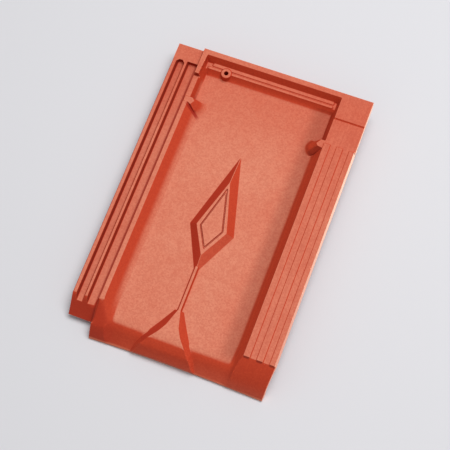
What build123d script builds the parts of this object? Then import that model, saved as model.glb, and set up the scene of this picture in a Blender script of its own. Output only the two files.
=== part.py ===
import os
from math import atan2, cos, sin, tan
from build123d import *

# Interlocking clay roof tile with a rhombus, one fired piece, in millimetres.
# It is drawn from its lower left corner: X from the left edge, Y from the nose up
# to the head, Z from the level ground it lies on, and is centred at the end.

# Overall size
length = 398
width = 265

# Levels above the ground
pan_under = 14
pan_top = 26
flange_under = 17
groove_floor = 27.5
rib_under = 30
ledge_top = 33
flange_top = 34.5
cover_under = 34.8
ridge_top = 39
cover_top = 42
head_top = 44
above = 2 * head_top
slope_reach = 3

# Side lock, from the left edge
groove1_left = 5.2
groove1_right = 15.9
groove1_chamfer = 4.5
groove2_left = 19.5
ridge_left = 34.5
ridge_right = 40.7
pan_left = 56.5
groove_draft = 1.6
lip_left = 33.5
corner_length = 21
groove_head = length - corner_length

# Cover, from the right edge
cover_width = 41
wall_run = 10
wall_foot_setback = 43
wall_head_setback = 35
cover_left = width - cover_width
pan_right = cover_left - wall_run
wall_foot = width - wall_foot_setback
wall_head = width - wall_head_setback
edge_inset = 1.3
strip_width = 8.25
strip_rise = 1
strip_setback = 72
strip_head = length - strip_setback
rib_setback = 24
rib_left = width - rib_setback
rib_width = 4
rib_draft = 0.8
edge_rib_width = 8.5
block_length = 37
block_run = 1.5
block_foot = length - block_length

# Nose, from its lower edge
lip_front = 3
lip_depth = 11
cover_lip_depth = 9
cover_lip_back = 15
pan_nose = 23
side_nose = 37.5
nose_bulge = 4
nose_bend = 22
nose_angle = atan2(pan_top - lip_front, pan_nose)
bend_y = pan_nose + nose_bend * tan(nose_angle / 2)
nose_taper = 4.8
nose_sag = 2.6
ridge_nose = 45
ridge_bend = 22
ridge_toe = 14
ridge_toe_level = 23.4
flange_foot = 18
flange_lip = 10
flange_lip_depth = 9
flange_back = flange_foot + flange_lip_depth
flange_nose = 41.5
flange_bend = 8

# Head, from its upper edge
rim_width = 7
rim_inner = length - rim_width
rim_slope = 5.3
ledge_setback = 21.3
slope_setback = 27
bar_setback = 36
ledge_back = rim_inner - rim_slope
ledge_front = length - ledge_setback
slope_foot = length - slope_setback
bar_foot = length - bar_setback
notch_width = 2.6
notch_depth = 3
head_left = 47
head_left_top = 40
head_inset = 4
head_right_run = 7
head_right = pan_right + head_inset
head_right_top = head_right + head_right_run
bar_left = 36
bar_width = 7.1
bar_foot_width = 5.3
bead_width = 4.6
bead_rise = 1.4
bead_sink = 0.5
bead_draft = 20
bead1_setback = 14.3
bead1_y = length - bead1_setback
bead1_left = 51.5
bead2_setback = 19.4
bead2_y = length - bead2_setback
bead2_left = 46.5

# Nail hole
hole_x = 72.8
hole_setback = 20.5
hole_y = length - hole_setback
hole_radius = 2.75
boss_radius = 7
boss_top = 35.6

# Rhombus, rib and triangle on the middle line of the pan
middle_offset = 2.2
middle = width / 2 - middle_offset
rhombus_rise = 7.5
rhombus_head = 280
rhombus_side = 175
rhombus_foot = 114.5
rhombus_half = 29.2
plate_head = 240
plate_foot = 138.5
plate_half = 19.8
line_head = 232
line_foot = 146.8
line_half = 15.2
line_width = 1.6
line_depth = 1.6
rib_top_half = 1.7
rib_base_half = 3.4
rib_rise = 3.5
rib_head = 124.5
triangle_head = 65
triangle_middle = 43
triangle_rise = 7
triangle_foot_rise = 3.5
triangle_sink = 2
triangle_head_half = 6.3
triangle_half = 19
triangle_foot_half = 45.5
triangle_plate_half = 8.2
triangle_bend_half = 14.4
triangle_lip_half = 41

# Stop lugs beside the pan, from the nose of the tile above
lug_y = 323
lug_rise = 0.5
lug_head = 8
lug_plateau = 6.5
lug_tail = 13
lug_front = 3
left_lug_heel = 5.7
left_lug_reach = 10.5
left_lug_tail_reach = 2.2
left_lug_tail = pan_left + left_lug_tail_reach
left_lug_width = 5
left_lug_crest = 8.3
left_lug_front = 4.8
left_lug_turn = 0.48
left_lug_base_y = lug_y - lug_tail + left_lug_turn * (left_lug_tail - ridge_right)
left_lug_top_y = lug_y - lug_front + left_lug_turn * left_lug_front
right_lug_heel = 8.5
right_lug_reach = 14
right_lug_tail_reach = 9.5
right_lug_toe_reach = 3
right_lug_width = 5
right_lug_crest = 9.3
right_lug_tip = 7

# Nibs under the head
nib_width = 36
nib_length = 20
nib_foot = 13
nib_setback = 52
nib_front = length - nib_setback
nib_offset = 58

# Rounded edges
pan_left_round = 14
pan_right_round = 9
slope_round = 4
edge_round = 1
groove_round = 0.7


def corner(sketch, x, y):
    return sketch.vertices().sort_by_distance((x, y))[0]


def rhombus(half, top_end, low_end):
    Polygon(
        (middle, top_end), (middle + half, rhombus_side),
        (middle, low_end), (middle - half, rhombus_side), align=None,
    )


def trapezoid(base_half, base_level, top_half, top_level):
    Polygon(
        (middle - base_half, base_level), (middle - top_half, top_level),
        (middle + top_half, top_level), (middle + base_half, base_level), align=None,
    )


def flanked(plate, half, rise, level, tilt):
    depth = rise + triangle_sink
    trapezoid(plate + (half - plate) * depth / rise, level - depth / cos(tilt), plate, level)


# Wide space above the lugs, with the slope, the ledge and the wall of the head
with BuildPart() as head_void:
    with BuildSketch(Plane.YZ) as head_profile:
        with BuildLine():
            Polyline(
                (lug_y + lug_rise, pan_top), (slope_foot, pan_top), (ledge_front, ledge_top),
                (ledge_back, ledge_top), (rim_inner, head_top), (rim_inner, above),
                (lug_y + lug_rise, above), close=True,
            )
        make_face()
        fillet(corner(head_profile, slope_foot, pan_top), slope_round)
        fillet(corner(head_profile, ledge_front, ledge_top), edge_round)
    extrude(amount=width)
    with BuildSketch(Plane.XZ.offset(-length)):
        with BuildLine():
            Polyline(
                (head_left, pan_top), (head_right, pan_top), (head_right_top, head_top),
                (head_right_top, above), (head_left_top, above), (head_left_top, head_top), close=True,
            )
        make_face()
    extrude(amount=length, mode=Mode.INTERSECT)

# Cross-section along the tile: side lock, ridge, wall and cover
with BuildPart() as roof_tile:
    with BuildSketch(Plane.XZ.offset(-length)) as section:
        with BuildLine():
            Polyline(
                (0, flange_under), (0, flange_top),
                (groove1_left, flange_top), (groove1_left + groove_draft, groove_floor),
                (groove1_right - groove_draft, groove_floor), (groove1_right, flange_top),
                (groove2_left, flange_top), (groove2_left + groove_draft, groove_floor),
                (ridge_left - groove_draft, groove_floor), (ridge_left, ridge_top),
                (pan_left, ridge_top), (pan_right, cover_top),
                (width - edge_inset, cover_top), (width, rib_under),
                (width - edge_rib_width, rib_under), (width - edge_rib_width - rib_draft, cover_under),
                (rib_left + rib_width + rib_draft, cover_under), (rib_left + rib_width, rib_under),
                (rib_left, rib_under), (rib_left - rib_draft, cover_under),
                (wall_head, cover_under), (wall_foot, pan_under),
                (ridge_left + flange_under - pan_under, pan_under), (ridge_left, flange_under),
                close=True,
            )
        make_face()
        for x in (groove1_left, groove1_right, groove2_left):
            fillet(corner(section, x, flange_top), groove_round)
        fillet(corner(section, ridge_left, ridge_top), edge_round)
        fillet(corner(section, 0, flange_top), edge_round)
        fillet(corner(section, width - edge_inset, cover_top), edge_round)
        fillet(corner(section, wall_head, cover_under), rib_width)
    extrude(amount=length)

    # Nose lip below the pan and, thinner, below the cover
    with BuildSketch(Plane.YZ.offset(lip_left)):
        with BuildLine():
            Polyline(
                (0, 0), (0, pan_top), (pan_nose + lip_depth, pan_top),
                (lip_depth + pan_under, pan_under), (lip_depth, 0), close=True,
            )
        make_face()
    extrude(amount=cover_left - lip_left)
    with BuildSketch(Plane.YZ.offset(pan_right)):
        with BuildLine():
            Polyline(
                (0, 0), (0, cover_top), (side_nose, cover_top), (side_nose, cover_under),
                (cover_lip_back, flange_under), (cover_lip_depth, 0), close=True,
            )
        make_face()
    extrude(amount=width - pan_right)

    # Rounded nose slope of the ridge and the cover
    with BuildSketch(Plane.YZ):
        with BuildLine():
            SagittaArc((0, lip_front), (side_nose, cover_top), nose_bulge)
            Polyline(
                (side_nose, cover_top), (side_nose, above), (-nose_bulge, above),
                (-nose_bulge, lip_front), (0, lip_front),
            )
        make_face()
    extrude(amount=width, mode=Mode.SUBTRACT)

    # Ridge beside the pan, rounded over toward the nose
    with BuildSketch(Plane.YZ) as ridge_end:
        with BuildLine():
            Polyline(
                (ridge_toe, ridge_toe_level), (ridge_nose, ridge_top), (ridge_nose + ridge_bend, ridge_top),
                (ridge_nose + ridge_bend, above), (-nose_bulge, above), (-nose_bulge, ridge_toe_level),
                close=True,
            )
        make_face()
        fillet(corner(ridge_end, ridge_nose, ridge_top), ridge_bend)
    extrude(amount=pan_left, mode=Mode.SUBTRACT)

    # Side lock stops short of the nose and slopes down to a lip there
    with BuildSketch(Plane.YZ):
        Polygon(
            (0, flange_lip), (0, pan_top), (flange_back + pan_top - flange_lip, pan_top),
            (flange_back, flange_lip), align=None,
        )
    extrude(amount=lip_left)
    with BuildSketch(Plane.YZ) as flange_end:
        with BuildLine():
            Polyline(
                (flange_foot, 0), (flange_foot, flange_lip), (flange_nose, flange_top),
                (flange_nose + flange_bend, flange_top), (flange_nose + flange_bend, above),
                (0, above), (0, 0), close=True,
            )
        make_face()
        fillet(corner(flange_end, flange_nose, flange_top), flange_bend)
    extrude(amount=lip_left, mode=Mode.SUBTRACT)

    # Flat corner of the side lock at the head, where the outer groove ends narrower
    with BuildSketch(Plane.XY.offset(flange_under)):
        with Locations((0, groove_head)):
            Rectangle(bar_left + edge_round, corner_length, align=Align.MIN)
        for x, way in ((groove1_left - edge_round, 1), (groove1_right + edge_round, -1)):
            Polygon(
                (x, groove_head), (x + way * groove1_chamfer, groove_head),
                (x, groove_head - groove1_chamfer), align=None,
            )
    extrude(amount=flange_top - flange_under)

    # Head rim with the bar on its left, and the blocks of the cover on its right
    with BuildSketch(Plane.XY.offset(pan_under)):
        with BuildLine():
            Polyline(
                (bar_left, length), (pan_right, length), (pan_right, slope_foot - slope_round),
                (pan_left, slope_foot - slope_round), (pan_left, bar_foot), (bar_left, bar_foot), close=True,
            )
        make_face()
    extrude(amount=head_top - pan_under)
    with BuildSketch(Plane.YZ.offset(pan_right)):
        Polygon(
            (block_foot, cover_under), (block_foot, cover_top), (block_foot + block_run, head_top),
            (length, head_top), (length, cover_under), align=None,
        )
    extrude(amount=width - pan_right)
    with BuildSketch(Plane.XY.offset(cover_under)):
        with Locations((width, strip_head)):
            Rectangle(edge_rib_width, length - strip_head, align=(Align.MAX, Align.MIN))
    extrude(amount=cover_top - cover_under)

    # Pan between its side slopes, bent down over the nose
    with BuildSketch(Plane.XZ.offset(-lug_y - lug_plateau)) as pan_section:
        with BuildLine():
            Polyline(
                (pan_left, pan_top), (pan_right, pan_top),
                (pan_right + wall_run * slope_reach, pan_top + (cover_top - pan_top) * slope_reach),
                (pan_left - (pan_left - ridge_right) * slope_reach,
                 pan_top + (ridge_top - pan_top) * slope_reach),
                close=True,
            )
        make_face()
        fillet(corner(pan_section, pan_left, pan_top), pan_left_round)
        fillet(corner(pan_section, pan_right, pan_top), pan_right_round)
    with BuildLine(Plane.YZ.offset(middle)) as pan_path:
        FilletPolyline(
            (lug_y + lug_plateau, pan_top), (pan_nose, pan_top),
            (-pan_nose, 2 * lip_front - pan_top), radius=nose_bend,
        )
    sweep(path=pan_path.wire(), mode=Mode.SUBTRACT)
    add(head_void.part, mode=Mode.SUBTRACT)

    # Bar widens toward the head, and a notch parts it from the ridge
    with BuildSketch(Plane.XY.offset(ledge_top)):
        with BuildLine():
            Polyline(
                (bar_left + edge_round, length - edge_round), (bar_left + bar_width, length - edge_round),
                (bar_left + bar_width, rim_inner), (bar_left + bar_foot_width, bar_foot),
                (bar_left + edge_round, bar_foot), close=True,
            )
        make_face()
    extrude(amount=head_top - ledge_top)
    with BuildSketch(Plane.XY.offset(head_top)):
        with Locations((ridge_left - groove_draft, bar_foot)):
            Rectangle(head_left - ridge_left, notch_width, align=(Align.MIN, Align.MAX))
    extrude(amount=ridge_top - notch_depth - head_top, mode=Mode.SUBTRACT)

    # Three raised strips along the cover
    with BuildSketch(Plane.XY.offset(cover_top - strip_rise)):
        for strip in range(3):
            strip_left = cover_left + 2 * strip * strip_width
            strip_right = min(strip_left + strip_width, width - edge_inset)
            with Locations((strip_left, side_nose)):
                Rectangle(strip_right - strip_left, strip_head - side_nose, align=Align.MIN)
    extrude(amount=2 * strip_rise)

    # Two flat beads along the ledge with rounded ends
    with BuildSketch(Plane.XY.offset(ledge_top - bead_sink)):
        for bead_left, bead_y in ((bead1_left, bead1_y), (bead2_left, bead2_y)):
            with Locations(((bead_left + head_right) / 2, bead_y)):
                SlotOverall(head_right - bead_left, bead_width)
    extrude(amount=bead_sink + bead_rise, taper=bead_draft)

    # Boss and nail hole
    with BuildSketch(Plane.XY.offset(pan_under)):
        with Locations((hole_x, hole_y)):
            Circle(boss_radius)
    extrude(amount=boss_top - pan_under)
    fillet(roof_tile.edges().filter_by_position(Axis.Z, boss_top, boss_top), edge_round)
    with Locations((hole_x, hole_y, boss_top)):
        Hole(hole_radius)

    # Raised rhombus with a flat plate and a fine line round it
    with BuildSketch(Plane.XY.offset(pan_top)):
        rhombus(rhombus_half, rhombus_head, rhombus_foot)
    with BuildSketch(Plane.XY.offset(pan_top + rhombus_rise)):
        rhombus(plate_half, plate_head, plate_foot)
    loft(ruled=True)
    with BuildSketch(Plane.XY.offset(pan_top + rhombus_rise)):
        rhombus(line_half, line_head, line_foot)
        offset(amount=-line_width, kind=Kind.INTERSECTION, mode=Mode.SUBTRACT)
    extrude(amount=-line_depth, mode=Mode.SUBTRACT)

    # Rib from the rhombus down to the triangle
    with BuildSketch(Plane.XZ.offset(-rib_head)):
        trapezoid(rib_base_half, pan_top - edge_round, rib_top_half, pan_top + rib_rise)
    extrude(amount=rib_head - triangle_head + edge_round)

    # Raised triangle, on the pan, round the bend and down to the lip of the nose
    with BuildSketch(Plane.XZ.offset(-triangle_head)):
        flanked(rib_top_half, triangle_head_half, rib_rise, pan_top + rib_rise, 0)
    with BuildSketch(Plane.XZ.offset(-triangle_middle)):
        flanked(triangle_plate_half, triangle_half, triangle_rise, pan_top + triangle_rise, 0)
    for tilt in (0, nose_angle / 2, nose_angle):
        y = bend_y - (nose_bend + triangle_rise) * sin(tilt)
        level = pan_top - nose_bend + (nose_bend + triangle_rise) * cos(tilt)
        plate = triangle_lip_half + (triangle_bend_half - triangle_lip_half) * y / bend_y
        half = triangle_foot_half + (triangle_half - triangle_foot_half) * y / triangle_middle
        with BuildSketch(Plane.XZ.offset(-y)):
            flanked(plate, half, triangle_rise, level, tilt)
    with BuildSketch(Plane.XZ):
        trapezoid(triangle_foot_half, 0, triangle_lip_half, lip_front + triangle_foot_rise)
    loft(ruled=True)

    # Stop lugs where the nose of the tile above ends
    with BuildSketch(Plane.XY.offset(pan_top - lug_rise)):
        Polygon(
            (ridge_left + edge_round, lug_y + lug_head), (pan_left + left_lug_heel, lug_y + lug_head),
            (pan_left + left_lug_reach, lug_y), (left_lug_tail, lug_y - lug_tail),
            (ridge_right, left_lug_base_y), (ridge_left + edge_round, left_lug_base_y), align=None,
        )
    with BuildSketch(Plane.XY.offset(ridge_top + lug_rise)):
        Polygon(
            (ridge_left + edge_round, lug_y + lug_plateau),
            (ridge_right + left_lug_width, lug_y + lug_plateau),
            (ridge_right + left_lug_crest, lug_y + lug_front),
            (ridge_right + left_lug_front, lug_y - lug_front),
            (ridge_right, left_lug_top_y), (ridge_left + edge_round, left_lug_top_y), align=None,
        )
    loft(ruled=True)
    with BuildSketch(Plane.XY.offset(pan_top - lug_rise)):
        Polygon(
            (cover_left + edge_round, lug_y + lug_head), (pan_right - right_lug_heel, lug_y + lug_plateau),
            (pan_right - right_lug_reach, lug_y - lug_front),
            (pan_right - right_lug_tail_reach, lug_y - lug_tail),
            (pan_right - right_lug_toe_reach, lug_y - lug_tail - edge_round),
            (cover_left + edge_round, lug_y - lug_plateau), align=None,
        )
    with BuildSketch(Plane.XY.offset(cover_top)):
        Polygon(
            (cover_left + edge_round, lug_y + lug_plateau),
            (cover_left - right_lug_width, lug_y + lug_plateau),
            (cover_left - right_lug_crest, lug_y), (cover_left - right_lug_tip, lug_y - lug_front),
            (cover_left - edge_round, lug_y - lug_front - edge_round),
            (cover_left + edge_round, lug_y - lug_front - edge_round), align=None,
        )
    loft(ruled=True)

    # Nose edge: slightly hollow in plan, drawn in at the right
    with BuildSketch(Plane.XY):
        with BuildLine():
            arc = SagittaArc((lip_left, 0), (width, 0), nose_sag)
            Line(arc @ 0, arc @ 1)
        make_face()
    extrude(amount=above, mode=Mode.SUBTRACT)
    with BuildSketch(Plane.XY):
        with BuildLine():
            Polyline((width, side_nose), (width - nose_taper, 0), (width, 0), close=True)
        make_face()
    extrude(amount=above, mode=Mode.SUBTRACT)

    # Two nibs that hang the tile on a batten, with an upright face toward the nose
    for nib_x in (width / 2 - nib_offset, width / 2 + nib_offset):
        with BuildSketch(Plane.YZ.offset(nib_x)) as nib:
            with BuildLine():
                Polyline(
                    (nib_front, pan_under + edge_round), (nib_front, 0), (nib_front + nib_foot, 0),
                    (nib_front + nib_length, pan_under + edge_round), close=True,
                )
            make_face()
            fillet(corner(nib, nib_front + nib_foot, 0), 2 * edge_round)
        extrude(amount=nib_width / 2, both=True)

tile = roof_tile.part.moved(Location((-width / 2, -length / 2, 0)))
tile.label = "roof_tile"
os.makedirs("parts", exist_ok=True)
export_step(tile, "parts/roof_tile.step")
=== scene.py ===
import math

import bmesh
import bpy
from mathutils import Matrix, Vector


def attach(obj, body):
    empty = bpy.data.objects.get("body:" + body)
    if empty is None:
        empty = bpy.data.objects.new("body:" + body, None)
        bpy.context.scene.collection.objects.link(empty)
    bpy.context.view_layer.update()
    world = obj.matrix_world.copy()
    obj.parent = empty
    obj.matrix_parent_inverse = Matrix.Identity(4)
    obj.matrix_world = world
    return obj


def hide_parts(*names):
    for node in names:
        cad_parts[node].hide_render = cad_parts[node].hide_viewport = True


# Fired clay roof tile, lying flat with its weather face up. All lengths are in metres,
# from the middle of the tile: X to the right, Y to the head, Z up from the ground.
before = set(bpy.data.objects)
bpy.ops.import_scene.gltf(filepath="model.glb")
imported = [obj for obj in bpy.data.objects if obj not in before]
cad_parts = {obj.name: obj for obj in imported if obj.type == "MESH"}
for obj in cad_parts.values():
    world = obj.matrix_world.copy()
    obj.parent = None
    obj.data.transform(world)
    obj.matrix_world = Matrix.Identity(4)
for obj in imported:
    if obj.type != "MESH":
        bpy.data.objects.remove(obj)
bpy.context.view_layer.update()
scene = bpy.context.scene

# Pressed body
MERGE_DISTANCE = 1e-6
VOXEL = 0.0005
EDGE_SMOOTHING = 0.5
EDGE_PASSES = 2
TRIANGLES = 186000
WARP_DEPTH = 0.00025
WARP_SIZE = 0.055
WARP_DETAIL = 1.0
SOFT_PASSES = 120
CURVE_PASSES = 120
NORMAL_PASSES = 6
CURVE_LIKENESS = (0.985, 0.988)

# Places where the press left the clay softer, each with its reach: feet of the lugs, ridge at the nose
SOFT_SPOTS = (
    ((-0.070, 0.120, 0.027), 0.013),
    ((0.068, 0.119, 0.028), 0.014),
    ((0.074, 0.124, 0.034), 0.011),
    ((-0.092, -0.168, 0.027), 0.018),
)

# Soft lines along the feet of the pan's two slopes, each with its reach
SOFT_LINES = (
    ((-0.075, 0, 0.027), 0.011),
    ((0.079, 0, 0.0275), 0.007),
)
SOFT_LINE_ENDS = (-0.162, 0.106)
SOFT_LINE_FADE = 0.006

# Clay colours
DEEP_RED = (0.34, 0.016, 0.006, 1)
CLAY_RED = (0.53, 0.054, 0.018, 1)
PALE_BLOOM_AND_SHEEN = (0.70, 0.242, 0.148, 1)
WORN_AND_LIT_EDGE = (0.84, 0.30, 0.17, 1)
PALE_LIT_SIDE = (0.88, 0.56, 0.42, 1)
PAINTED_SHADE = (0.15, 0.012, 0.006, 1)
WALL_SHADOW = (0.74, 0.74, 0.74, 1)

# Grain of the clay and clouds of the firing
FINE_GRAIN = 0.0007
COARSE_GRAIN = 0.0018
NEAR_CLOUD = 0.012
WIDE_CLOUD = 0.075
GRAIN_DETAIL = 2.0
CLOUD_DETAIL = 3.0
CLOUD_RANGE = (0.3, 0.7)
GRAIN_DEPTH = 0.00014
GRAIN_STRENGTH = 0.45
GRAIN_RANGE = (0.6, 1.4)
HOLLOW_ROUGHNESS = 0.8
CREST_ROUGHNESS = 0.68
SHEEN = 0.2
OCCLUSION_SAMPLES = 8

# The pairs below are fades: where one starts and where it is full. Places are in metres,
# faces are told by one part of their normal, and openness and streaks are shares of one.

# Pale bloom with painted sheen on the faces that look up, thinned toward the head as painted dimmer light
BLOOM_SHEEN_FACING = 0.85
BLOOM_SHEEN_FACING_AT_NOSE = 0.92
BLOOM_SHEEN_FULL_FACING = 0.99
NOSE_BEND = (-0.14, -0.165)
COVER_FADE = (0.02, 0.1)
COVER_BLOOM_SHEEN = 0.72
HEAD_FADE = (0.05, 0.17)
HEAD_BLOOM_SHEEN = 0.66
LOCK_FADE = (-0.09, -0.1)
LOCK_BLOOM_SHEEN = 0.86
PATCHY_BLOOM_SHEEN = 0.88
CLOUDY_BLOOM_SHEEN = 0.86

# Bloom with painted sheen that runs up the foot of the left slope
FEATHER_BLOOM_SHEEN = 0.75
FEATHER_HEIGHT = (0.0325, 0.0272)
FEATHER_LEFT = (-0.093, -0.09)
FEATHER_RIGHT = (-0.058, -0.062)
FEATHER_NOSE = (-0.170, -0.125)
FEATHER_HEAD = (0.166, 0.156)

# Dust with painted front light on the nose and on the rhombus's lower right flank
FACES_FRONT = (-0.3, -0.6)
NOSE_DUST_AND_LIGHT = 0.16
NOSE_LIGHT_HEIGHT = (0.024, 0.004)
NOSE_LIGHT_SIDE = (-0.08, 0.02)
NOSE_LIGHT_AT_LEFT = 0.2
FLANK_DUST_AND_LIGHT = 0.15
FLANK_FRONT = (-0.12, -0.22)
FLANK_RIGHT = (0.1, 0.3)
FLANK_MIDDLE = -0.02
FLANK_HALF = 0.13

# Painted shade: deeper red on low slopes that face left and at the left of the nose
LEFT_SHADE = 0.55
FACES_LEFT = (-0.25, -0.55)
LOW_SLOPE = (0.6, 0.75)
LEFT_OF_WALL = (0.06, 0.05)
NOSE_SHADE = 0.42
NOSE_LEFT = (-0.05, -0.09)
NOSE_FACING = (-0.2, -0.45)
NOSE_PART = (-0.15, -0.165)

# Specks of sand, and streaks along the cover
SPECKS = 0.22
STREAKS = 0.14
STREAK_STRETCH = (1, 0.03, 0.3)
STREAK_FINENESS = 900.0
STREAK_DETAIL = 2.0
STREAK_RANGE = (0.35, 0.65)
STREAK_SIDE = (0.085, 0.095)
STREAKS_ELSEWHERE = 0.25

# Painted shadow along the foot of the wall at the right
WALL_SHADOW_SIDE = (0.055, 0.073)
WALL_SHADOW_HEIGHT = (0.031, 0.028)
WALL_SHADOW_NOSE = (-0.176, -0.160)

# Painted shade in corners and crevices, lighter on the cover's steps that face the light
CORNER_REACH = 0.012
CORNER_OPENNESS = (0.8, 0.3)
CORNER_SHADE = 0.95
CORNER_FACING = (0.4, 0.9)
CORNER_ON_FLATS = 0.4
CREVICE_REACH = 0.0025
CREVICE_OPENNESS = (0.75, 0.35)
CREVICE_DARK = 0.8
COVER_EDGE = (0.084, 0.088)
LIT_FACING = (-0.3, 0.0)
LIT_STEP = 0.9

# Painted shade on the walls of the grooves and on the steps of the lugs
GROOVE_STEEP = (0.85, 0.5)
GROOVE_SIDE = (-0.094, -0.097)
GROOVE_FACING = (0.2, 0.5)
GROOVE_DARK = 0.5
LUG_MIDDLE = 0.118
LUG_HALF = 0.026
STEP_FACING = (-0.35, -0.6)
STEP_DARK = 0.45

# Shade at the foot of the inner ridge and along the left lug's step
RIDGE_FOOT = -0.1010
RIDGE_FOOT_HALF = 0.0022
RIDGE_FOOT_HEIGHT = (0.033, 0.029)
RIDGE_MIDDLE = 0.004
RIDGE_HALF = 0.25
RIDGE_SHADE = 0.7
STEP_ACROSS = (0.521, 0.853, 0)
STEP_ALONG = (0.853, -0.521, 0)
STEP_PLACE = 0.0557
STEP_HALF = 0.0026
STEP_MIDDLE = -0.131
STEP_HALF_LENGTH = 0.0135
STEP_SHADE = 0.9

# Painted shadow as dark bars at the ends of the raised strips, with shares of the strips' period
STRIP_LEFT = 0.0915
STRIP_PERIOD = 0.0165
STRIP_END = -0.1615
BAR_MIDDLE = 0.22
BAR_HALF = 0.3
BAR_SHADOW = 0.6
BAR_INSET = 0.001
BAR_DROP = 0.0008
BAR_DEPTH = 0.0016

# Worn edges, except on the side lock's lip, and the nose's lower edge, rubbed and with painted front light
EDGE_REACH = 0.0018
EDGE_OPENNESS = (0.85, 0.35)
EDGE_WEAR = 0.5
LIP_SIDE = (-0.105, -0.095)
LIP_NOSE = (-0.17, -0.16)
RUBBED_LIT_HEIGHT = (0.0075, 0.004)
RUBBED_AND_LIT = 0.5

# Painted highlight on the trimmed side at the right, whose clay is also paler
LIT_SIDE_FACING = (0.6, 0.85)
LIT_SIDE_PLACE = (0.1255, 0.1275)
LIT_SIDE_LENGTH = (-0.16, 0.12)
LIT_SIDE_AT_NOSE = 0.5

# Floor and light: each softbox has its place, aim, width, height, power and spread
FLOOR_SIZE = 8
FLOOR_COLOUR = (0.66, 0.66, 0.69, 1)
FLOOR_ROUGHNESS = 0.9
WORLD_COLOUR = (1, 0.985, 0.97, 1)
WORLD_STRENGTH = 0.35
SOFTBOXES = {
    "key": ((0.54, 0.58, 2.6), (0, 0, 0.03), 1.5, 1.5, 65, 180),
    "low_side": ((3.0, 0.1, 0.022), (0, 0.1, 0.022), 1.0, 0.03, 2.4, 40),
}

# Camera
CAMERA_PLACE = Vector((0.2418, -0.4366, 1.4467))
CAMERA_TARGET = Vector((0.0106, -0.0118, 0.026))
CAMERA_ROLL = math.radians(-8.16)
FIELD_OF_VIEW = math.radians(21.08)


def set_or_link(tree, socket, value):
    if isinstance(value, bpy.types.NodeSocket):
        tree.links.new(value, socket)
    else:
        socket.default_value = value


def add_node(tree, kind, inputs=None, **settings):
    """Adds a node, sets its options, and links or sets its inputs."""
    node = tree.nodes.new(kind)
    for name, value in settings.items():
        setattr(node, name, value)
    for key, value in (inputs or {}).items():
        set_or_link(tree, node.inputs[key], value)
    return node


def add_socket(tree, name, direction, kind, value=None):
    socket = tree.interface.new_socket(name, in_out=direction, socket_type="NodeSocket" + kind)
    if value is not None:
        socket.default_value = value
    return socket


def enabled(sockets, name):
    return [socket for socket in sockets if socket.name == name and socket.enabled][0]


# Evened curves, softness of pressed clay, and the slow warp of a fired tile, inward only
def make_unevenness():
    tree = bpy.data.node_groups.new("kiln_unevenness", "GeometryNodeTree")
    add_socket(tree, "Geometry", "INPUT", "Geometry")
    add_socket(tree, "Curve passes", "INPUT", "Int", CURVE_PASSES)
    add_socket(tree, "Soft passes", "INPUT", "Int", SOFT_PASSES)
    add_socket(tree, "Warp depth", "INPUT", "Float", WARP_DEPTH)
    add_socket(tree, "Warp size", "INPUT", "Float", WARP_SIZE)
    add_socket(tree, "Clay", "INPUT", "Material")
    add_socket(tree, "Geometry", "OUTPUT", "Geometry")
    given = add_node(tree, "NodeGroupInput").outputs
    place = add_node(tree, "GeometryNodeInputPosition").outputs[0]
    normal = add_node(tree, "GeometryNodeInputNormal").outputs[0]

    def calculate(operation, first, second):
        return add_node(tree, "ShaderNodeMath", {0: first, 1: second}, operation=operation).outputs[0]

    def vector(operation, inputs, result="Vector"):
        return add_node(tree, "ShaderNodeVectorMath", inputs, operation=operation).outputs[result]

    def fade(value, ends, **settings):
        inputs = {"Value": value, "From Min": ends[0], "From Max": ends[1]}
        return add_node(tree, "ShaderNodeMapRange", inputs, **settings).outputs[0]

    def blurred(value, passes, weight):
        inputs = {"Iterations": passes, "Weight": weight}
        blur = add_node(tree, "GeometryNodeBlurAttribute", inputs, data_type="FLOAT_VECTOR")
        tree.links.new(value, enabled(blur.inputs, "Value"))
        return enabled(blur.outputs, "Value")

    def nearness(value, spot, reach):
        away = vector("DISTANCE", {0: value, 1: spot}, "Value")
        return fade(away, (reach, reach / 2), interpolation_type="SMOOTHSTEP")

    def moved(body, key, value):
        return add_node(tree, "GeometryNodeSetPosition", {"Geometry": body, key: value}).outputs[0]

    # Wide curves and the feet of the slopes are evened out, and sharp edges stay
    likeness = vector("LENGTH", {0: blurred(normal, NORMAL_PASSES, 1.0)}, "Value")
    curved = fade(likeness, CURVE_LIKENESS)
    along = add_node(tree, "ShaderNodeSeparateXYZ", {0: place}).outputs["Y"]
    section = vector("MULTIPLY", {0: place, 1: (1, 0, 1)})
    nose_end, head_end = SOFT_LINE_ENDS
    for line, reach in SOFT_LINES:
        near = nearness(section, line, reach)
        near = calculate("MULTIPLY", near, fade(along, (nose_end, nose_end + SOFT_LINE_FADE)))
        near = calculate("MULTIPLY", near, fade(along, (head_end, head_end - SOFT_LINE_FADE)))
        curved = calculate("MAXIMUM", curved, near)
    body = moved(given["Geometry"], "Position", blurred(place, given["Curve passes"], curved))

    softness = 0.0
    for spot, reach in SOFT_SPOTS:
        softness = calculate("MAXIMUM", softness, nearness(place, spot, reach))
    body = moved(body, "Position", blurred(place, given["Soft passes"], softness))

    scale = calculate("DIVIDE", 1.0, given["Warp size"])
    noise = add_node(tree, "ShaderNodeTexNoise", {"Scale": scale, "Detail": WARP_DETAIL}).outputs[0]
    inward = calculate("MULTIPLY", calculate("MULTIPLY", noise, given["Warp depth"]), -1.0)
    body = moved(body, "Offset", vector("SCALE", {0: normal, "Scale": inward}))
    body = add_node(tree, "GeometryNodeRealizeInstances", {"Geometry": body}).outputs[0]
    clay = {"Geometry": body, "Material": given["Clay"]}
    body = add_node(tree, "GeometryNodeSetMaterial", clay).outputs[0]
    add_node(tree, "NodeGroupOutput", {"Geometry": body})
    return tree


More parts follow.
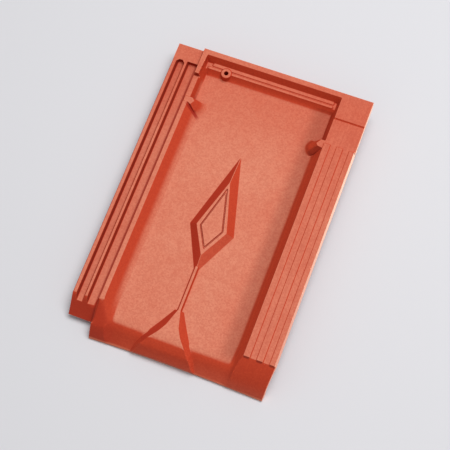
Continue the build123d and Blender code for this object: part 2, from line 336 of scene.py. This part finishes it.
def merged_copy(node, name):
    shell = bmesh.new()
    shell.from_mesh(node.data)
    bmesh.ops.remove_doubles(shell, verts=shell.verts, dist=MERGE_DISTANCE)
    mesh = bpy.data.meshes.new(name)
    shell.to_mesh(mesh)
    shell.free()
    return mesh


def evaluated_mesh(piece):
    graph = bpy.context.evaluated_depsgraph_get()
    return bpy.data.meshes.new_from_object(piece.evaluated_get(graph))


# Body with the soft edges of pressed clay, made from the solid
def press_tile(node, clay):
    piece = bpy.data.objects.new("pressed_tile", merged_copy(node, "pressed_tile"))
    scene.collection.objects.link(piece)
    remesh = piece.modifiers.new("clay", "REMESH")
    remesh.mode = "VOXEL"
    remesh.voxel_size = VOXEL
    soften = piece.modifiers.new("soft_edges", "SMOOTH")
    soften.factor = EDGE_SMOOTHING
    soften.iterations = EDGE_PASSES
    uneven = piece.modifiers.new("unevenness", "NODES")
    uneven.node_group = make_unevenness()
    for item in uneven.node_group.interface.items_tree:
        if item.in_out == "INPUT" and item.name == "Clay":
            uneven[item.identifier] = clay
    dense = evaluated_mesh(piece)
    piece.modifiers.clear()
    piece.data = dense

    thin = piece.modifiers.new("thin", "DECIMATE")
    thin.ratio = TRIANGLES / sum(len(face.vertices) - 2 for face in dense.polygons)
    thinned = evaluated_mesh(piece)
    piece.modifiers.clear()
    thinned.shade_smooth()
    piece.data = thinned
    even = piece.modifiers.new("even_shading", "WEIGHTED_NORMAL")
    even.mode = "FACE_AREA"
    finished = evaluated_mesh(piece)
    piece.modifiers.clear()
    piece.data = finished
    finished.name = "pressed_tile"
    return piece


# Sand in the clay, as a height for bump and as light and dark specks
def make_sand_grain():
    tree = bpy.data.node_groups.new("sand_grain", "ShaderNodeTree")
    add_socket(tree, "Place", "INPUT", "Vector")
    add_socket(tree, "Grain size", "INPUT", "Float", FINE_GRAIN)
    add_socket(tree, "Height", "OUTPUT", "Float")
    add_socket(tree, "Speck", "OUTPUT", "Float")
    given = add_node(tree, "NodeGroupInput").outputs
    scale = add_node(tree, "ShaderNodeMath", {0: 1.0, 1: given["Grain size"]}, operation="DIVIDE").outputs[0]
    inputs = {"Vector": given["Place"], "Scale": scale}
    noise = add_node(tree, "ShaderNodeTexNoise", {**inputs, "Detail": GRAIN_DETAIL}).outputs[0]
    grains = add_node(tree, "ShaderNodeTexVoronoi", inputs).outputs
    bead = add_node(tree, "ShaderNodeMath", {0: 1.0, 1: grains["Distance"]}, operation="SUBTRACT").outputs[0]
    height = add_node(tree, "ShaderNodeMath", {0: noise, 1: bead}, operation="ADD").outputs[0]
    speck = add_node(tree, "ShaderNodeSeparateColor", {"Color": grains["Color"]}).outputs[0]
    add_node(tree, "NodeGroupOutput", {"Height": height, "Speck": speck})
    return tree


# Cloudy tone of the firing
def make_kiln_cloud():
    tree = bpy.data.node_groups.new("kiln_cloud", "ShaderNodeTree")
    add_socket(tree, "Place", "INPUT", "Vector")
    add_socket(tree, "Cloud size", "INPUT", "Float", WIDE_CLOUD)
    add_socket(tree, "Tone", "OUTPUT", "Float")
    given = add_node(tree, "NodeGroupInput").outputs
    scale = add_node(tree, "ShaderNodeMath", {0: 1.0, 1: given["Cloud size"]}, operation="DIVIDE").outputs[0]
    inputs = {"Vector": given["Place"], "Scale": scale, "Detail": CLOUD_DETAIL}
    noise = add_node(tree, "ShaderNodeTexNoise", inputs).outputs[0]
    inputs = {"Value": noise, "From Min": CLOUD_RANGE[0], "From Max": CLOUD_RANGE[1]}
    tone = add_node(tree, "ShaderNodeMapRange", inputs).outputs[0]
    add_node(tree, "NodeGroupOutput", {"Tone": tone})
    return tree


class ClayNodes:
    """Nodes of the clay's material, with the place and the facing of each point."""

    def __init__(self, tree):
        self.tree = tree
        self.place = add_node(tree, "ShaderNodeTexCoord").outputs["Object"]
        self.spot = add_node(tree, "ShaderNodeSeparateXYZ", {"Vector": self.place}).outputs
        normal = add_node(tree, "ShaderNodeNewGeometry").outputs["Normal"]
        self.facing = add_node(tree, "ShaderNodeSeparateXYZ", {"Vector": normal}).outputs

    def math(self, operation, first, second=0.0):
        return add_node(self.tree, "ShaderNodeMath", {0: first, 1: second}, operation=operation).outputs[0]

    def vector(self, operation, other, result):
        inputs = {0: self.place, 1: other}
        return add_node(self.tree, "ShaderNodeVectorMath", inputs, operation=operation).outputs[result]

    def product(self, first, *others):
        for other in others:
            first = self.math("MULTIPLY", first, other)
        return first

    def fade(self, value, ends, full=1.0, start=0.0):
        """Runs smoothly from start to full between the two ends."""
        inputs = {"Value": value, "From Min": ends[0], "From Max": ends[1], "To Min": start, "To Max": full}
        return add_node(self.tree, "ShaderNodeMapRange", inputs, interpolation_type="SMOOTHSTEP").outputs[0]

    def band(self, value, middle, half):
        """Is full round the middle and ends half a width away from it."""
        away = self.math("ABSOLUTE", self.math("SUBTRACT", value, middle))
        return self.fade(away, (half, half / 2))

    def openness(self, reach, inside=False):
        settings = {"samples": OCCLUSION_SAMPLES, "inside": inside}
        around = add_node(self.tree, "ShaderNodeAmbientOcclusion", {"Distance": reach}, **settings)
        return around.outputs["AO"]

    def coat(self, colour, amount, paint, blend="MIX"):
        """Lays a paint over the colour, by an amount that may change over the surface."""
        node = add_node(self.tree, "ShaderNodeMix", data_type="RGBA", blend_type=blend)
        for name, value in {"Factor": amount, "A": colour, "B": paint}.items():
            set_or_link(self.tree, enabled(node.inputs, name), value)
        return enabled(node.outputs, "Result")

    def group(self, node_tree, size):
        """Places a group that takes the place and one size."""
        node = add_node(self.tree, "ShaderNodeGroup", node_tree=node_tree)
        self.tree.links.new(self.place, node.inputs["Place"])
        node.inputs[1].default_value = size
        return node.outputs


# Pale bloom with painted sheen on faces that look up, thinner on the cover, on the side lock and toward the
# head
def bloom_and_sheen_amount(clay, near_tone, wide_tone):
    spot = clay.spot
    facing = clay.facing
    least = clay.fade(spot["Y"], NOSE_BEND, BLOOM_SHEEN_FACING_AT_NOSE, BLOOM_SHEEN_FACING)
    bloom_sheen = clay.fade(facing["Z"], (least, BLOOM_SHEEN_FULL_FACING))
    feather = clay.product(
        clay.fade(spot["Z"], FEATHER_HEIGHT, FEATHER_BLOOM_SHEEN),
        clay.fade(spot["X"], FEATHER_RIGHT), clay.fade(spot["X"], FEATHER_LEFT),
        clay.fade(spot["Y"], FEATHER_NOSE), clay.fade(spot["Y"], FEATHER_HEAD),
    )
    bloom_sheen = clay.product(
        clay.math("MAXIMUM", bloom_sheen, feather),
        clay.fade(spot["X"], COVER_FADE, COVER_BLOOM_SHEEN, 1.0),
        clay.fade(spot["Y"], HEAD_FADE, HEAD_BLOOM_SHEEN, 1.0),
        clay.fade(spot["X"], LOCK_FADE, LOCK_BLOOM_SHEEN, 1.0),
        clay.fade(near_tone, (0.0, 1.0), 1.0, PATCHY_BLOOM_SHEEN),
        clay.fade(wide_tone, (0.0, 1.0), 1.0, CLOUDY_BLOOM_SHEEN),
    )
    # Dust with painted front light on the nose and on the rhombus's lower right flank
    nose_dust_and_light = clay.product(
        clay.fade(spot["Z"], NOSE_LIGHT_HEIGHT, NOSE_DUST_AND_LIGHT), clay.fade(facing["Y"], FACES_FRONT),
        clay.fade(spot["X"], NOSE_LIGHT_SIDE, 1.0, NOSE_LIGHT_AT_LEFT),
    )
    flank_dust_and_light = clay.product(
        clay.fade(facing["Y"], FLANK_FRONT, FLANK_DUST_AND_LIGHT), clay.fade(facing["X"], FLANK_RIGHT),
        clay.band(spot["Y"], FLANK_MIDDLE, FLANK_HALF),
    )
    return clay.math("ADD", clay.math("ADD", bloom_sheen, nose_dust_and_light), flank_dust_and_light)


# Painted shade: deeper red on the low slopes that face left and at the left of the nose
def shade_left_slopes(clay, colour):
    slope = clay.product(
        clay.fade(clay.facing["X"], FACES_LEFT, LEFT_SHADE), clay.fade(clay.facing["Z"], LOW_SLOPE),
        clay.fade(clay.spot["X"], LEFT_OF_WALL),
    )
    colour = clay.coat(colour, slope, DEEP_RED)
    nose = clay.product(
        clay.fade(clay.spot["X"], NOSE_LEFT, NOSE_SHADE), clay.fade(clay.facing["Y"], NOSE_FACING),
        clay.fade(clay.spot["Y"], NOSE_PART),
    )
    return clay.coat(colour, nose, DEEP_RED)


# Specks of sand, streaks left along the cover, and a painted shadow along the foot of the right wall
def stain_and_shade_clay(clay, colour, speck):
    colour = clay.coat(colour, clay.fade(speck, (0.0, 1.0), SPECKS), DEEP_RED)
    stretched = clay.vector("MULTIPLY", STREAK_STRETCH, "Vector")
    inputs = {"Vector": stretched, "Scale": STREAK_FINENESS, "Detail": STREAK_DETAIL}
    drag = add_node(clay.tree, "ShaderNodeTexNoise", inputs).outputs[0]
    streak = clay.product(
        clay.fade(drag, STREAK_RANGE, STREAKS),
        clay.fade(clay.spot["X"], STREAK_SIDE, 1.0, STREAKS_ELSEWHERE),
    )
    colour = clay.coat(colour, streak, DEEP_RED)
    # Painted shadow of the right wall on the pan, laid on by multiplying
    wall_shadow = clay.product(
        clay.fade(clay.spot["X"], WALL_SHADOW_SIDE), clay.fade(clay.spot["Z"], WALL_SHADOW_HEIGHT),
        clay.fade(clay.spot["Y"], WALL_SHADOW_NOSE),
    )
    return clay.coat(colour, wall_shadow, WALL_SHADOW, "MULTIPLY")


# Painted shade: deeper red in the corners, dark crevices, dark walls of the grooves and dark steps of the
# lugs
def shade_corners(clay, colour):
    spot = clay.spot
    facing = clay.facing
    corner = clay.product(
        clay.fade(clay.openness(CORNER_REACH), CORNER_OPENNESS, CORNER_SHADE),
        clay.fade(facing["Z"], CORNER_FACING, CORNER_ON_FLATS, 1.0),
    )
    colour = clay.coat(colour, corner, DEEP_RED)
    lit_step = clay.product(clay.fade(spot["X"], COVER_EDGE), clay.fade(facing["X"], LIT_FACING, LIT_STEP))
    crevice = clay.product(
        clay.fade(clay.openness(CREVICE_REACH), CREVICE_OPENNESS, CREVICE_DARK),
        clay.math("SUBTRACT", 1.0, lit_step),
    )
    colour = clay.coat(colour, crevice, PAINTED_SHADE)
    # Painted shade on the groove walls that face right and on the lug steps that face the nose
    groove = clay.product(
        clay.fade(facing["Z"], GROOVE_STEEP), clay.fade(spot["X"], GROOVE_SIDE, GROOVE_DARK),
        clay.fade(facing["X"], GROOVE_FACING),
    )
    step = clay.product(
        clay.band(spot["Y"], LUG_MIDDLE, LUG_HALF), clay.fade(facing["Y"], STEP_FACING, STEP_DARK),
    )
    return clay.coat(colour, clay.math("MAXIMUM", groove, step), PAINTED_SHADE)


# Painted shade at the feet of the inner ridge and the left lug's step; painted shadow as dark bars at strip
# ends
def shade_feet(clay, colour):
    spot = clay.spot
    ridge = clay.product(
        clay.band(spot["X"], RIDGE_FOOT, RIDGE_FOOT_HALF), clay.band(spot["Y"], RIDGE_MIDDLE, RIDGE_HALF),
        clay.fade(spot["Z"], RIDGE_FOOT_HEIGHT), RIDGE_SHADE,
    )
    across = clay.vector("DOT_PRODUCT", STEP_ACROSS, "Value")
    along = clay.vector("DOT_PRODUCT", STEP_ALONG, "Value")
    step = clay.product(
        clay.band(across, STEP_PLACE, STEP_HALF), clay.band(along, STEP_MIDDLE, STEP_HALF_LENGTH), STEP_SHADE,
    )
    colour = clay.coat(colour, clay.math("MAXIMUM", ridge, step), DEEP_RED)
    # Painted shadow: dark bars below the ends of the raised strips
    strips = clay.math("DIVIDE", clay.math("SUBTRACT", spot["X"], STRIP_LEFT), STRIP_PERIOD)
    bar_shadow = clay.product(
        clay.band(clay.math("FRACT", strips), BAR_MIDDLE, BAR_HALF),
        clay.fade(spot["X"], (STRIP_LEFT - BAR_INSET, STRIP_LEFT), BAR_SHADOW),
        clay.band(spot["Y"], STRIP_END - BAR_DROP, BAR_DEPTH),
    )
    return clay.coat(colour, bar_shadow, PAINTED_SHADE)


# Lighter worn edges, the nose's rubbed lower edge with painted front light, and the pale trimmed right side
def wear_and_light_edges(clay, colour):
    spot = clay.spot
    facing = clay.facing
    past_lip = clay.math("MAXIMUM", clay.fade(spot["X"], LIP_SIDE), clay.fade(spot["Y"], LIP_NOSE))
    edge = clay.fade(clay.openness(EDGE_REACH, inside=True), EDGE_OPENNESS, EDGE_WEAR)
    edge = clay.product(edge, past_lip)
    # Lighter low front faces of the nose: rubbed, with painted front light
    rubbed_and_lit = clay.product(
        clay.fade(spot["Z"], RUBBED_LIT_HEIGHT, RUBBED_AND_LIT), clay.fade(facing["Y"], FACES_FRONT),
    )
    colour = clay.coat(colour, clay.math("MAXIMUM", edge, rubbed_and_lit), WORN_AND_LIT_EDGE)
    # Painted highlight on the trimmed side at the right, whose clay is also paler
    lit_side = clay.product(
        clay.fade(facing["X"], LIT_SIDE_FACING), clay.fade(spot["X"], LIT_SIDE_PLACE),
        clay.fade(spot["Y"], LIT_SIDE_LENGTH, 1.0, LIT_SIDE_AT_NOSE),
    )
    return clay.coat(colour, lit_side, PALE_LIT_SIDE)


def fired_clay():
    material = bpy.data.materials.new("fired_clay")
    material.use_nodes = True
    tree = material.node_tree
    tree.nodes.clear()
    clay = ClayNodes(tree)
    sand = make_sand_grain()
    cloud = make_kiln_cloud()
    fine = clay.group(sand, FINE_GRAIN)
    coarse = clay.group(sand, COARSE_GRAIN)
    wide = clay.group(cloud, WIDE_CLOUD)
    near = clay.group(cloud, NEAR_CLOUD)

    # The colour carries painted sheen, shade, shadow, front light and highlight besides the clay's own tones
    colour = clay.coat(CLAY_RED, bloom_and_sheen_amount(clay, near["Tone"], wide["Tone"]), PALE_BLOOM_AND_SHEEN)
    colour = shade_left_slopes(clay, colour)
    colour = stain_and_shade_clay(clay, colour, coarse["Speck"])
    colour = shade_corners(clay, colour)
    colour = shade_feet(clay, colour)
    colour = wear_and_light_edges(clay, colour)

    roughness = clay.fade(fine["Height"], GRAIN_RANGE, CREST_ROUGHNESS, HOLLOW_ROUGHNESS)
    height = clay.math("ADD", fine["Height"], coarse["Height"])
    relief = {"Height": height, "Strength": GRAIN_STRENGTH, "Distance": GRAIN_DEPTH}
    bump = add_node(tree, "ShaderNodeBump", relief).outputs["Normal"]
    shader = add_node(tree, "ShaderNodeBsdfPrincipled", {
        "Base Color": colour, "Roughness": roughness, "Specular IOR Level": SHEEN, "Normal": bump,
    })
    add_node(tree, "ShaderNodeOutputMaterial", {"Surface": shader.outputs["BSDF"]})
    return material


def pale_floor():
    material = bpy.data.materials.new("pale_floor")
    material.use_nodes = True
    shader = material.node_tree.nodes["Principled BSDF"]
    shader.inputs["Base Color"].default_value = FLOOR_COLOUR
    shader.inputs["Roughness"].default_value = FLOOR_ROUGHNESS
    mesh = bpy.data.meshes.new("floor")
    half = FLOOR_SIZE / 2
    corners = [(-half, -half, 0), (half, -half, 0), (half, half, 0), (-half, half, 0)]
    mesh.from_pydata(corners, [], [(0, 1, 2, 3)])
    mesh.materials.append(material)
    floor = bpy.data.objects.new("floor", mesh)
    scene.collection.objects.link(floor)


def softbox(name, place, aim, width, height, power, spread):
    light = bpy.data.lights.new(name, "AREA")
    light.shape = "RECTANGLE"
    light.size = width
    light.size_y = height
    light.energy = power
    light.spread = math.radians(spread)
    lamp = bpy.data.objects.new(name, light)
    lamp.location = place
    lamp.rotation_euler = (Vector(aim) - Vector(place)).to_track_quat("-Z", "Y").to_euler()
    scene.collection.objects.link(lamp)


def studio_light():
    world = bpy.data.worlds.new("studio")
    world.use_nodes = True
    background = world.node_tree.nodes["Background"]
    background.inputs["Color"].default_value = WORLD_COLOUR
    background.inputs["Strength"].default_value = WORLD_STRENGTH
    scene.world = world
    for name, values in SOFTBOXES.items():
        softbox(name, *values)


def photo_camera():
    camera = bpy.data.cameras.new("camera")
    camera.angle = FIELD_OF_VIEW
    camera.sensor_fit = "HORIZONTAL"
    turn = (CAMERA_TARGET - CAMERA_PLACE).to_track_quat("-Z", "Y").to_matrix().to_4x4()
    eye = bpy.data.objects.new("camera", camera)
    eye.matrix_world = Matrix.Translation(CAMERA_PLACE) @ turn @ Matrix.Rotation(CAMERA_ROLL, 4, "Z")
    scene.collection.objects.link(eye)
    scene.camera = eye


scene.view_settings.view_transform = "Standard"
tile = press_tile(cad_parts["roof_tile"], fired_clay())
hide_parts("roof_tile")
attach(tile, "root")
pale_floor()
studio_light()
photo_camera()
